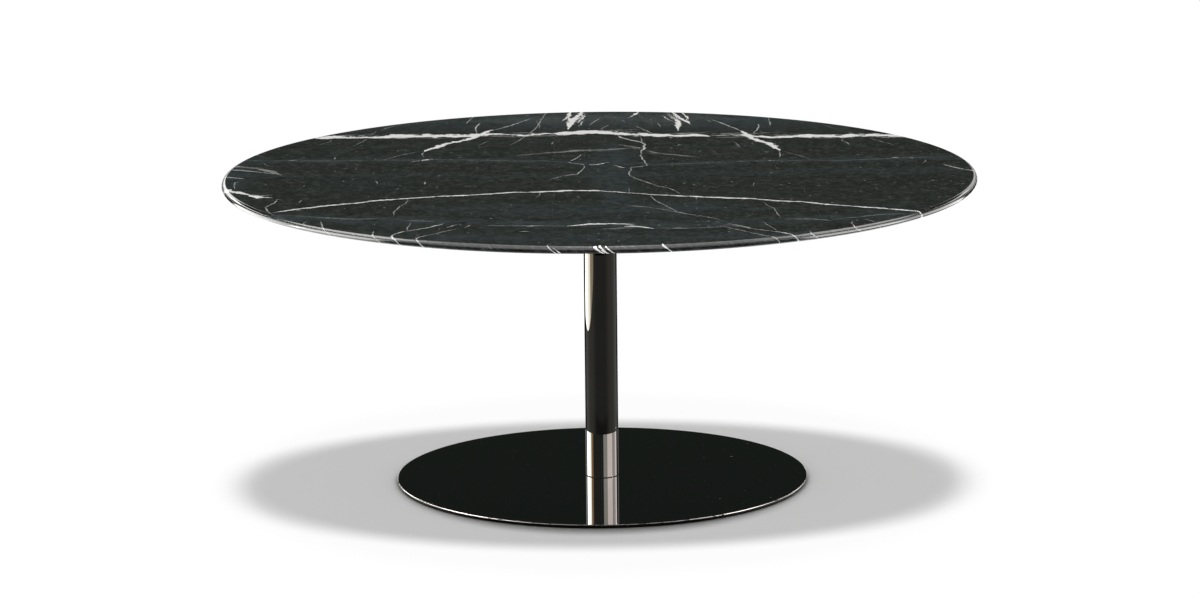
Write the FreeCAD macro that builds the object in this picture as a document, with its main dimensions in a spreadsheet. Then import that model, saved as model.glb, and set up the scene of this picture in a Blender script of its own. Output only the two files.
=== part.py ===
import FreeCAD, Part
import Sketcher
import math
import os

# Round pedestal table: a polished stone top on one slim column and a thin round base plate.
# Millimetres, +Z up, origin on the floor under the middle of the column.

# Driving dimensions
DIMENSIONS = {
    "table_height": 415.0,
    "top_diameter": 1000.0,
    "edge_thickness": 10.0,
    "bevel_depth": 10.0,
    "bevel_width": 60.0,
    "stone_cover": 6.0,
    "insert_diameter": 10.0,
    "insert_glue_gap": 0.2,
    "insert_end_gap": 2.0,
    "plate_diameter": 400.0,
    "plate_thickness": 5.0,
    "plate_chamfer": 1.0,
    "fixing_count": 6,
    "fixing_inset": 30.0,
    "fixing_screw_diameter": 6.0,
    "fixing_head_diameter": 10.5,
    "fixing_crown_diameter": 7.0,
    "fixing_head_height": 3.3,
    "fixing_socket_flats": 4.0,
    "fixing_tip_gap": 3.0,
    "washer_diameter": 18.0,
    "washer_thickness": 1.6,
    "pad_diameter": 40.0,
    "pad_thickness": 2.0,
    "column_diameter": 44.0,
    "column_wall": 3.0,
    "column_chamfer": 0.4,
    "plug_length": 25.0,
    "plug_chamfer": 1.0,
    "plug_fit_gap": 0.1,
    "plug_screw_count": 4,
    "plug_screw_inset": 5.5,
    "plug_screw_diameter": 5.0,
    "plug_screw_grip": 14.0,
    "plug_head_diameter": 9.5,
    "plug_head_recess": 0.2,
    "plug_socket_flats": 3.0,
    "socket_depth": 1.8,
    "countersink_gap": 0.1,
    "clearance_hole_gap": 0.5,
    "thread_gap": 0.1,
    "gasket_thickness": 0.5,
    "gasket_setback": 0.5,
    "base_diameter": 550.0,
    "base_thickness": 4.0,
    "base_top_chamfer": 0.8,
    "base_bottom_chamfer": 0.5,
    "glide_count": 6,
    "glide_diameter": 22.0,
    "glide_thickness": 1.0,
    "glide_inset": 30.0,
    "glide_chamfer": 0.3,
}

# Heights of the seats, from the floor up and from the top face down
BASE_LEVEL = "Size.glide_thickness"
GASKET_LEVEL = f"({BASE_LEVEL} + Size.base_thickness)"
COLUMN_LEVEL = f"({GASKET_LEVEL} + Size.gasket_thickness)"
STONE_THICKNESS = "(Size.edge_thickness + Size.bevel_depth)"
STONE_LEVEL = f"(Size.table_height - {STONE_THICKNESS})"
PAD_LEVEL = f"({STONE_LEVEL} - Size.pad_thickness)"
PLATE_LEVEL = f"({PAD_LEVEL} - Size.plate_thickness)"
WASHER_LEVEL = f"({PLATE_LEVEL} - Size.washer_thickness)"
COLUMN_LENGTH = f"({PLATE_LEVEL} - {COLUMN_LEVEL})"

# Circles on which the fasteners and glides lie
COLUMN_BORE = "(Size.column_diameter - 2 * Size.column_wall)"
FIXING_RADIUS = "(Size.plate_diameter / 2 - Size.fixing_inset)"
PLUG_SCREW_RADIUS = f"({COLUMN_BORE} / 2 - Size.plug_screw_inset)"
GLIDE_RADIUS = "(Size.base_diameter / 2 - Size.glide_inset)"

# Holes, and the fasteners that go through them
INSERT_HOLE_DEPTH = f"({STONE_THICKNESS} - Size.stone_cover)"
INSERT_LENGTH = f"({INSERT_HOLE_DEPTH} - Size.insert_end_gap)"
FIXING_LENGTH = (
    "(Size.washer_thickness + Size.plate_thickness + Size.pad_thickness"
    f" + {INSERT_LENGTH} - Size.fixing_tip_gap)"
)
FIXING_HOLE = "(Size.fixing_screw_diameter + Size.clearance_hole_gap)"
PLUG_SCREW_HOLE = "(Size.plug_screw_diameter + Size.clearance_hole_gap)"
PLUG_HEAD_DEPTH = "((Size.plug_head_diameter - Size.plug_screw_diameter) / 2)"
COUNTERSINK = "(Size.plug_head_diameter + 2 * Size.plug_head_recess + Size.countersink_gap)"

MATCH = 1e-4

doc = FreeCAD.newDocument("pedestal_table")
sheet = doc.addObject("Spreadsheet::Sheet", "Size")
for row, (alias, number) in enumerate(DIMENSIONS.items(), start=1):
    sheet.set(f"A{row}", alias)
    sheet.set(f"B{row}", str(number))
    sheet.setAlias(f"B{row}", alias)
doc.recompute()

subparts = []


def value(formula):
    """The number that a formula over the sheet's cells has now."""
    return float(sheet.evalExpression(formula))


def origin_plane(body, role):
    return next(part for part in body.Origin.OriginFeatures if part.Role == role)


def new_body(label, level, upside_down=False):
    """An empty sub-part whose own origin stands on the table's axis at the given height."""
    body = doc.addObject("PartDesign::Body", label)
    body.Label = label
    if upside_down:
        body.Placement.Rotation = FreeCAD.Rotation(FreeCAD.Vector(1, 0, 0), 180)
    body.setExpression("Placement.Base.z", level)
    subparts.append(body)
    return body


def new_sketch(body, name, role="XY_Plane", height=None):
    sketch = body.newObject("Sketcher::SketchObject", name)
    sketch.AttachmentSupport = [(origin_plane(body, role), "")]
    sketch.MapMode = "FlatFace"
    if height:
        sketch.setExpression("AttachmentOffset.Base.z", height)
    return sketch


def drive(sketch, constraint, formula):
    """Adds a dimension to a sketch and binds it to the sheet."""
    number = sketch.addConstraint(constraint)
    sketch.setExpression(f"Constraints[{number}]", formula)


def add_circle(sketch, diameter, distance=None):
    """A circle about the sketch's origin, or on its X axis at a distance from there."""
    centre = FreeCAD.Vector(value(distance) if distance else 0, 0, 0)
    circle = sketch.addGeometry(Part.Circle(centre, FreeCAD.Vector(0, 0, 1), value(diameter) / 2))
    if distance:
        sketch.addConstraint(Sketcher.Constraint("PointOnObject", circle, 3, -1))
        drive(sketch, Sketcher.Constraint("DistanceX", -1, 1, circle, 3, centre.x), distance)
    else:
        sketch.addConstraint(Sketcher.Constraint("Coincident", circle, 3, -1, 1))
    drive(sketch, Sketcher.Constraint("Diameter", circle, value(diameter)), diameter)
    return circle


def add_hexagon(sketch, across_flats, distance):
    """A regular hexagon on the sketch's X axis, with one corner on that axis."""
    corner_circle = f"(2 * {across_flats} / sqrt(3))"
    outer = add_circle(sketch, corner_circle, distance)
    sketch.setConstruction(outer, True)
    radius = value(corner_circle) / 2
    corners = []
    for side in range(6):
        turn = math.radians(60 * side)
        x = value(distance) + radius * math.cos(turn)
        corners.append(FreeCAD.Vector(x, radius * math.sin(turn), 0))
    sides = [
        sketch.addGeometry(Part.LineSegment(corners[side], corners[(side + 1) % 6])) for side in range(6)
    ]
    for side in range(6):
        sketch.addConstraint(Sketcher.Constraint("Coincident", sides[side], 2, sides[(side + 1) % 6], 1))
        sketch.addConstraint(Sketcher.Constraint("PointOnObject", sides[side], 2, outer))
    for side in range(1, 6):
        sketch.addConstraint(Sketcher.Constraint("Equal", sides[0], sides[side]))
    sketch.addConstraint(Sketcher.Constraint("PointOnObject", sides[0], 1, -1))


def add_outline(sketch, points, distance):
    """A closed outline of straight lines beside an upright axis at a distance from the origin."""
    at = [(f"({distance} + {x})", z) for x, z in points]
    here = [FreeCAD.Vector(value(x), value(z), 0) for x, z in at]
    count = len(points)
    for side in range(count):
        line = sketch.addGeometry(Part.LineSegment(here[side], here[(side + 1) % count]))
        drive(sketch, Sketcher.Constraint("DistanceX", -1, 1, line, 1, here[side].x), at[side][0])
        drive(sketch, Sketcher.Constraint("DistanceY", -1, 1, line, 1, here[side].y), at[side][1])
    for side in range(count):
        sketch.addConstraint(Sketcher.Constraint("Coincident", side, 2, (side + 1) % count, 1))
    axis = sketch.addGeometry(Part.LineSegment(here[0], here[-1]), True)
    sketch.addConstraint(Sketcher.Constraint("Coincident", axis, 1, 0, 1))
    sketch.addConstraint(Sketcher.Constraint("Coincident", axis, 2, count - 1, 1))


def pad(body, sketch, length):
    feature = body.newObject("PartDesign::Pad", f"{body.Name}_pad")
    feature.Profile = sketch
    feature.setExpression("Length", length)
    doc.recompute()
    return feature


def check_cut(body, before, feature):
    """Stops if a cut took nothing away from a body that had this volume before."""
    doc.recompute()
    if body.Shape.Volume > before - MATCH:
        raise RuntimeError(f"{feature.Name} cuts nothing from {body.Label}")


def pocket_up(body, sketch, depth=None):
    """A cut from the sketch upwards, to a depth or right through."""
    before = body.Shape.Volume
    feature = body.newObject("PartDesign::Pocket", f"{body.Name}_pocket")
    feature.Profile = sketch
    feature.Reversed = True
    if depth:
        feature.setExpression("Length", depth)
    else:
        feature.Type = "ThroughAll"
    check_cut(body, before, feature)
    return feature


def round_the_axis(body, features, sketch, count):
    """Repeats features evenly round the upright axis through the sketch's origin."""
    feature = body.newObject("PartDesign::PolarPattern", f"{body.Name}_ring")
    feature.Originals = features
    feature.Axis = (sketch, ["N_Axis"])
    feature.Angle = 360
    feature.setExpression("Occurrences", count)
    body.Tip = feature
    doc.recompute()
    return feature


def chamfer_rims(body, base, diameter, size, heights):
    """Breaks the round edges of one diameter at the given heights above the body's own origin."""
    wanted = [value(height) for height in heights]
    names = []
    for number, edge in enumerate(base.Shape.Edges, start=1):
        if not isinstance(edge.Curve, Part.Circle):
            continue
        same_size = abs(edge.Curve.Radius - value(diameter) / 2) < MATCH
        if same_size and any(abs(edge.Curve.Center.z - height) < MATCH for height in wanted):
            names.append(f"Edge{number}")
    feature = body.newObject("PartDesign::Chamfer", f"{body.Name}_chamfer")
    feature.Base = (base, names)
    feature.setExpression("Size", size)
    doc.recompute()
    return feature


def drill_ring(body, diameter, distance, count):
    """Plain round holes right through, evenly spaced on a circle."""
    sketch = new_sketch(body, f"{body.Name}_hole_sketch")
    add_circle(sketch, diameter, distance)
    hole = pocket_up(body, sketch)
    round_the_axis(body, [hole], sketch, count)


def countersink_ring(body, from_below, thickness):
    """Holes for the column screws, with their countersinks in the lower or the upper face."""
    before = body.Shape.Volume
    sketch = new_sketch(body, f"{body.Name}_countersink_sketch", height=None if from_below else thickness)
    add_circle(sketch, PLUG_SCREW_HOLE, PLUG_SCREW_RADIUS)
    hole = body.newObject("PartDesign::Hole", f"{body.Name}_countersink")
    hole.Profile = sketch
    doc.recompute()
    hole.ThreadType = "None"
    hole.DepthType = "ThroughAll"
    hole.HoleCutType = "Countersink"
    hole.HoleCutCustomValues = True
    hole.HoleCutCountersinkAngle = 90
    hole.Reversed = from_below
    hole.setExpression("Diameter", PLUG_SCREW_HOLE)
    hole.setExpression("HoleCutDiameter", COUNTERSINK)
    check_cut(body, before, hole)
    round_the_axis(body, [hole], sketch, "Size.plug_screw_count")


def add_disc(body, diameter, thickness):
    sketch = new_sketch(body, f"{body.Name}_sketch")
    add_circle(sketch, diameter)
    return pad(body, sketch, thickness)


def add_ring(body, outer, inner, length, distance=None):
    sketch = new_sketch(body, f"{body.Name}_sketch")
    add_circle(sketch, outer, distance)
    add_circle(sketch, inner, distance)
    return pad(body, sketch, length), sketch


def ring_group(label, level, outer, inner, length):
    """Like rings, one at each fixing point under the top."""
    body = new_body(label, level)
    ring, sketch = add_ring(body, outer, inner, length, FIXING_RADIUS)
    round_the_axis(body, [ring], sketch, "Size.fixing_count")


def screw_group(label, level, outline, radius, count, socket_flats, upside_down=False):
    """Like screws on a circle, each turned from one outline, with a hexagon socket in its head."""
    body = new_body(label, level, upside_down)
    profile = new_sketch(body, f"{label}_profile", "XZ_Plane")
    add_outline(profile, outline, radius)
    shank = body.newObject("PartDesign::Revolution", f"{label}_turned")
    shank.Profile = profile
    shank.ReferenceAxis = (profile, ["Axis0"])
    shank.Angle = 360
    doc.recompute()
    hexagon = new_sketch(body, f"{label}_socket_sketch")
    add_hexagon(hexagon, socket_flats, radius)
    socket = pocket_up(body, hexagon, "Size.socket_depth")
    round_the_axis(body, [shank, socket], hexagon, count)


def put_on_circle(body, radius, count, number):
    """Moves a sub-part to its place on a circle about the table's axis."""
    body.setExpression("Placement.Base.x", f"{radius} * cos(360 deg * {number} / {count})")
    body.setExpression("Placement.Base.y", f"{radius} * sin(360 deg * {number} / {count})")


def marble_top():
    """The stone disc: flat face, rounded nose, and an underside that slopes up to the nose."""
    body = new_body("marble_top", STONE_LEVEL)
    nose_radius = "(Size.edge_thickness / 2)"
    nose_distance = f"(Size.top_diameter / 2 - {nose_radius})"
    flat_radius = f"({nose_distance} - Size.bevel_width)"
    nose = value(nose_radius)
    high = value(STONE_THICKNESS)
    centre = FreeCAD.Vector(value(nose_distance), high - nose, 0)
    foot = FreeCAD.Vector(value(flat_radius), 0, 0)
    # The slope touches the nose at the point where it runs square to the nose's radius
    reach = centre - foot
    slope = math.atan2(reach.y, reach.x) - math.asin(nose / reach.Length)
    touch_turn = slope - math.pi / 2
    touch = centre + FreeCAD.Vector(math.cos(touch_turn), math.sin(touch_turn), 0) * nose
    crown = FreeCAD.Vector(centre.x, high, 0)
    middle_low = FreeCAD.Vector(0, 0, 0)
    middle_high = FreeCAD.Vector(0, high, 0)
    round_nose = Part.ArcOfCircle(Part.Circle(centre, FreeCAD.Vector(0, 0, 1), nose), touch_turn, math.pi / 2)

    sketch = new_sketch(body, "marble_top_profile", "XZ_Plane")
    under = sketch.addGeometry(Part.LineSegment(middle_low, foot))
    bevel = sketch.addGeometry(Part.LineSegment(foot, touch))
    edge = sketch.addGeometry(round_nose)
    face = sketch.addGeometry(Part.LineSegment(crown, middle_high))
    axis = sketch.addGeometry(Part.LineSegment(middle_high, middle_low))
    for constraint in (
        Sketcher.Constraint("Coincident", under, 1, -1, 1),
        Sketcher.Constraint("Coincident", under, 2, bevel, 1),
        Sketcher.Constraint("Tangent", bevel, 2, edge, 1),
        Sketcher.Constraint("Tangent", edge, 2, face, 1),
        Sketcher.Constraint("Coincident", face, 2, axis, 1),
        Sketcher.Constraint("Coincident", axis, 2, under, 1),
        Sketcher.Constraint("Horizontal", under),
        Sketcher.Constraint("Horizontal", face),
        Sketcher.Constraint("Vertical", axis),
    ):
        sketch.addConstraint(constraint)
    drive(sketch, Sketcher.Constraint("Radius", edge, nose), nose_radius)
    drive(sketch, Sketcher.Constraint("DistanceX", -1, 1, edge, 3, centre.x), nose_distance)
    drive(sketch, Sketcher.Constraint("DistanceX", -1, 1, under, 2, foot.x), flat_radius)
    drive(sketch, Sketcher.Constraint("DistanceY", -1, 1, axis, 1, high), STONE_THICKNESS)
    disc = body.newObject("PartDesign::Revolution", "marble_top_turned")
    disc.Profile = sketch
    disc.ReferenceAxis = (sketch, ["V_Axis"])
    disc.Angle = 360
    doc.recompute()

    insert_hole = new_sketch(body, "marble_top_insert_sketch")
    add_circle(insert_hole, "(Size.insert_diameter + Size.insert_glue_gap)", FIXING_RADIUS)
    hole = pocket_up(body, insert_hole, INSERT_HOLE_DEPTH)
    round_the_axis(body, [hole], insert_hole, "Size.fixing_count")


def top_fixings():
    """What holds the stone to its plate: inserts glued into the stone, pads, washers and screws."""
    thread = "(Size.fixing_screw_diameter + Size.thread_gap)"
    ring_group("threaded_inserts", STONE_LEVEL, "Size.insert_diameter", thread, INSERT_LENGTH)
    for number in range(DIMENSIONS["fixing_count"]):
        pad_body = new_body(f"isolation_pad_{number + 1}", PAD_LEVEL)
        add_ring(pad_body, "Size.pad_diameter", FIXING_HOLE, "Size.pad_thickness")
        put_on_circle(pad_body, FIXING_RADIUS, "Size.fixing_count", number)
    ring_group("fixing_washers", WASHER_LEVEL, "Size.washer_diameter", FIXING_HOLE, "Size.washer_thickness")
    shank = "(Size.fixing_screw_diameter / 2)"
    tip = f"(Size.fixing_head_height + {FIXING_LENGTH})"
    outline = [
        ("0", "0"),
        ("Size.fixing_crown_diameter / 2", "0"),
        ("Size.fixing_head_diameter / 2", "Size.fixing_head_height"),
        (shank, "Size.fixing_head_height"),
        (shank, tip),
        ("0", tip),
    ]
    screw_group(
        "fixing_screws",
        f"({WASHER_LEVEL} - Size.fixing_head_height)",
        outline,
        FIXING_RADIUS,
        "Size.fixing_count",
        "Size.fixing_socket_flats",
    )


def mounting_plate():
    """The steel disc that carries the stone, hidden under it."""
    body = new_body("mounting_plate", PLATE_LEVEL)
    disc = add_disc(body, "Size.plate_diameter", "Size.plate_thickness")
    chamfer_rims(body, disc, "Size.plate_diameter", "Size.plate_chamfer", ["0", "Size.plate_thickness"])
    countersink_ring(body, False, "Size.plate_thickness")
    drill_ring(body, FIXING_HOLE, FIXING_RADIUS, "Size.fixing_count")


def column_tube():
    """The slim tube between the two plates."""
    body = new_body("column_tube", COLUMN_LEVEL)
    tube, _ = add_ring(body, "Size.column_diameter", COLUMN_BORE, COLUMN_LENGTH)
    chamfer_rims(body, tube, "Size.column_diameter", "Size.column_chamfer", ["0", COLUMN_LENGTH])


def column_plug(label, level):
    """A turned plug pressed into one end of the tube, drilled for the column screws."""
    body = new_body(label, level)
    diameter = f"({COLUMN_BORE} - Size.plug_fit_gap)"
    plug = add_disc(body, diameter, "Size.plug_length")
    chamfer_rims(body, plug, diameter, "Size.plug_chamfer", ["0", "Size.plug_length"])
    thread = "(Size.plug_screw_diameter + Size.thread_gap)"
    drill_ring(body, thread, PLUG_SCREW_RADIUS, "Size.plug_screw_count")


def column_screws(label, level, grip, upside_down):
    """Countersunk screws through one plate into the plug behind it."""
    shank = "(Size.plug_screw_diameter / 2)"
    length = f"({grip} + Size.plug_screw_grip - Size.plug_head_recess)"
    outline = [
        ("0", "0"),
        ("Size.plug_head_diameter / 2", "0"),
        (shank, PLUG_HEAD_DEPTH),
        (shank, length),
        ("0", length),
    ]
    count = "Size.plug_screw_count"
    screw_group(label, level, outline, PLUG_SCREW_RADIUS, count, "Size.plug_socket_flats", upside_down)


def foot_gasket():
    """The thin black ring of shadow under the tube: a gasket set back from its outside."""
    body = new_body("foot_gasket", GASKET_LEVEL)
    add_disc(body, "(Size.column_diameter - 2 * Size.gasket_setback)", "Size.gasket_thickness")
    drill_ring(body, PLUG_SCREW_HOLE, PLUG_SCREW_RADIUS, "Size.plug_screw_count")


def base_plate():
    """The round base: a thin disc with broken edges, countersunk below for the column screws."""
    body = new_body("base_plate", BASE_LEVEL)
    disc = add_disc(body, "Size.base_diameter", "Size.base_thickness")
    upper = chamfer_rims(body, disc, "Size.base_diameter", "Size.base_top_chamfer", ["Size.base_thickness"])
    chamfer_rims(body, upper, "Size.base_diameter", "Size.base_bottom_chamfer", ["0"])
    countersink_ring(body, True, "Size.base_thickness")


def floor_glides():
    """The pads that keep the base plate off the floor."""
    for number in range(DIMENSIONS["glide_count"]):
        body = new_body(f"floor_glide_{number + 1}", "0")
        disc = add_disc(body, "Size.glide_diameter", "Size.glide_thickness")
        chamfer_rims(body, disc, "Size.glide_diameter", "Size.glide_chamfer", ["0"])
        put_on_circle(body, GLIDE_RADIUS, "Size.glide_count", number)


def write_parts():
    """Writes each sub-part to its own file once all of them are sound."""
    doc.recompute()
    for thing in doc.Objects:
        if "Invalid" in thing.State or "Error" in thing.State:
            raise RuntimeError(f"{thing.Name} failed: {thing.State}")
    for body in subparts:
        if body.Shape.isNull() or not body.Shape.isValid():
            raise RuntimeError(f"{body.Label} has no sound shape")
    os.makedirs("parts", exist_ok=True)
    for body in subparts:
        body.Shape.exportStep(f"parts/{body.Label}.step")
        print(body.Label, len(body.Shape.Solids), round(body.Shape.Volume, 1))


marble_top()
top_fixings()
mounting_plate()
column_tube()
column_plug("upper_plug", f"({PLATE_LEVEL} - Size.plug_length)")
column_screws("upper_plug_screws", f"({PAD_LEVEL} - Size.plug_head_recess)", "Size.plate_thickness", True)
column_plug("lower_plug", COLUMN_LEVEL)
foot_gasket()
base_plate()
base_grip = "(Size.base_thickness + Size.gasket_thickness)"
column_screws("base_screws", f"({BASE_LEVEL} + Size.plug_head_recess)", base_grip, False)
floor_glides()
write_parts()
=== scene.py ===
import math
import random
from collections import namedtuple

import bmesh
import bpy
from mathutils import Matrix, Vector


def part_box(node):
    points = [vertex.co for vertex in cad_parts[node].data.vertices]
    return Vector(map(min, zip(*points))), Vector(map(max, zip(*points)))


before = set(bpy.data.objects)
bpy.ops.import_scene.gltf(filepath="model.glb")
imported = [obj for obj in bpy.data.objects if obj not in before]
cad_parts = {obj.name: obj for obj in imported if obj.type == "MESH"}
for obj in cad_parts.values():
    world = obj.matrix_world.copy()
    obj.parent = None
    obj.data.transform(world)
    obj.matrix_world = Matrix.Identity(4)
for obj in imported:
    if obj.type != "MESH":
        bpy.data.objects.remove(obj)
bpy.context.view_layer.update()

# Looks of a round pedestal table: polished black marble on a mirror-dark metal column and base disc.
# Metres, in the part's own frame, unless a name says millimetres.

MILLIMETRE = 0.001
scene = bpy.context.scene


# Shader maths

# The share of a speck's radius that is solid, the share of the specks that are at full strength, and the
# numbers of the two colour inputs and the colour output of a Mix node
SPECK_CORE = 0.4
SPECK_FULL = 0.6
MIX_FIRST, MIX_SECOND, MIX_COLOUR = 6, 7, 2


class Value:
    """One output of a node, with the arithmetic that adds Math nodes behind it."""

    def __init__(self, nodes, socket):
        self.nodes = nodes
        self.socket = socket

    def math(self, operation, first, second=0.0):
        return self.nodes.make("ShaderNodeMath", {"operation": operation}, {0: first, 1: second})

    def __add__(self, other):
        return self.math("ADD", self, other)

    def __radd__(self, other):
        return self.math("ADD", other, self)

    def __sub__(self, other):
        return self.math("SUBTRACT", self, other)

    def __rsub__(self, other):
        return self.math("SUBTRACT", other, self)

    def __mul__(self, other):
        return self.math("MULTIPLY", self, other)

    def __rmul__(self, other):
        return self.math("MULTIPLY", other, self)

    def __truediv__(self, other):
        return self.math("DIVIDE", self, other)

    def __abs__(self):
        return self.math("ABSOLUTE", self)

    def root(self):
        return self.math("SQRT", self)

    def largest(self, other):
        return self.math("MAXIMUM", self, other)

    def rise(self, low, high):
        """0 below low, 1 above high, and a smooth step between them."""
        inputs = {"Value": self, "From Min": low, "From Max": high}
        return self.nodes.make("ShaderNodeMapRange", {"interpolation_type": "SMOOTHSTEP"}, inputs)


class Nodes:
    """The node tree of one finish, and the one way in which its nodes are made."""

    def __init__(self, tree):
        self.tree = tree
        tree.nodes.clear()

    def make(self, kind, settings=None, inputs=None, output=0):
        node = self.tree.nodes.new(kind)
        for name, setting in (settings or {}).items():
            if name == "stops":
                self.set_stops(node.color_ramp, setting)
            elif name == "curves":
                self.set_curves(node.mapping, setting)
            else:
                setattr(node, name, setting)
        for key, given in (inputs or {}).items():
            if isinstance(given, Value):
                self.tree.links.new(given.socket, node.inputs[key])
            else:
                node.inputs[key].default_value = given
        return Value(self, node.outputs[output]) if node.outputs else None

    def set_stops(self, ramp, stops):
        while len(ramp.elements) < len(stops):
            ramp.elements.new(0.5)
        for element, (place, shade) in zip(ramp.elements, stops):
            element.position = place
            element.color = shade

    def set_curves(self, mapping, lines):
        for curve, points in zip(mapping.curves, lines):
            while len(curve.points) < len(points):
                curve.points.new(0.5, 0.5)
            for point, place in zip(curve.points, points):
                point.location = place
                point.handle_type = "VECTOR"
        mapping.update()

    def vector(self, operation, first, second=0.0):
        """Vector maths, in which a plain number stands for three of it."""
        parts = [(part,) * 3 if isinstance(part, (int, float)) else part for part in (first, second)]
        return self.make("ShaderNodeVectorMath", {"operation": operation}, dict(enumerate(parts)))

    def place(self):
        return self.make("ShaderNodeTexCoord", output="Object")

    def triple(self, value):
        """A value as all three parts of a vector."""
        return self.make("ShaderNodeCombineXYZ", None, {axis: value for axis in "XYZ"})

    def stretch(self, place, scale):
        return self.vector("MULTIPLY", place, scale)

    def split(self, place):
        return [self.make("ShaderNodeSeparateXYZ", None, {0: place}, axis) for axis in "XYZ"]

    def noise(self, place, scale, detail=2.0, roughness=0.5, output="Fac"):
        inputs = {"Vector": place, "Scale": scale, "Detail": detail, "Roughness": roughness}
        return self.make("ShaderNodeTexNoise", None, inputs, output)

    def shaken(self, place, scale, reach, detail=2.0):
        """The place, moved by noise up to about half the reach each way."""
        shake = self.vector("SUBTRACT", self.noise(place, scale, detail, output="Color"), 0.5)
        return self.vector("ADD", place, self.vector("MULTIPLY", shake, reach))

    def specks(self, place, scale, size, share, spread="3D"):
        """Round specks of a size, solid in their core, in a share of the cells of a scattered grid."""
        cells = {"Vector": place, "Scale": scale}
        grid = {"voronoi_dimensions": spread}
        near = self.make("ShaderNodeTexVoronoi", grid, cells, "Distance")
        tint = self.make("ShaderNodeTexVoronoi", grid, cells, "Color")
        pick = self.make("ShaderNodeSeparateColor", None, {0: tint}, 0)
        inside = 1 - near.rise(SPECK_CORE * size * scale, size * scale)
        return inside * pick.rise(1 - share, 1 - SPECK_FULL * share)

    def mix(self, factor, first, second):
        """A colour between two colours."""
        inputs = {0: factor, MIX_FIRST: first, MIX_SECOND: second}
        return self.make("ShaderNodeMix", {"data_type": "RGBA"}, inputs, MIX_COLOUR)

    def bump(self, height, strength, distance):
        inputs = {"Height": height, "Strength": strength, "Distance": distance}
        return self.make("ShaderNodeBump", None, inputs)

    def finish(self, inputs):
        """The one surface shader of a finish, and the material's output."""
        shader = self.make("ShaderNodeBsdfPrincipled", None, inputs)
        self.make("ShaderNodeOutputMaterial", None, {"Surface": shader})


def new_finish(name):
    material = bpy.data.materials.new(name)
    material.use_nodes = True
    return material, Nodes(material.node_tree)


def colour(red, green, blue):
    return (red, green, blue, 1.0)


# Black marble
# A strand is one vein: the axis that it runs along, its half width in millimetres, its brightness,
# and its course over the slab in millimetres from the middle of the top, in the order of that axis.
# A point of the course may give a half width of its own. Ends without one taper to nothing.
Strand = namedtuple("Strand", "along width shade course")

MAIN_VEIN = [
    Strand("x", 12, 1.0, [
        (-430, 296, 8), (-390, 303), (-340, 302), (-300, 304), (-280, 308, 14), (-262, 305),
        (-240, 308, 14), (-190, 305, 10), (-172, 309, 13), (-150, 318, 7), (-120, 314, 3), (-105, 312),
    ]),
    Strand("x", 14, 1.0, [
        (-125, 303), (-105, 306, 6), (-85, 312), (-40, 316), (-22, 324, 16), (-8, 328, 16), (30, 313),
        (50, 300), (75, 299), (100, 291, 12), (140, 287, 11), (150, 286),
    ]),
    Strand("x", 11, 1.0, [
        (185, 290), (200, 288, 8), (215, 277, 8), (240, 272, 13), (260, 275), (280, 277, 13),
        (300, 277, 13), (325, 272), (375, 276), (400, 273, 9), (430, 268, 6),
    ]),
]

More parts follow.
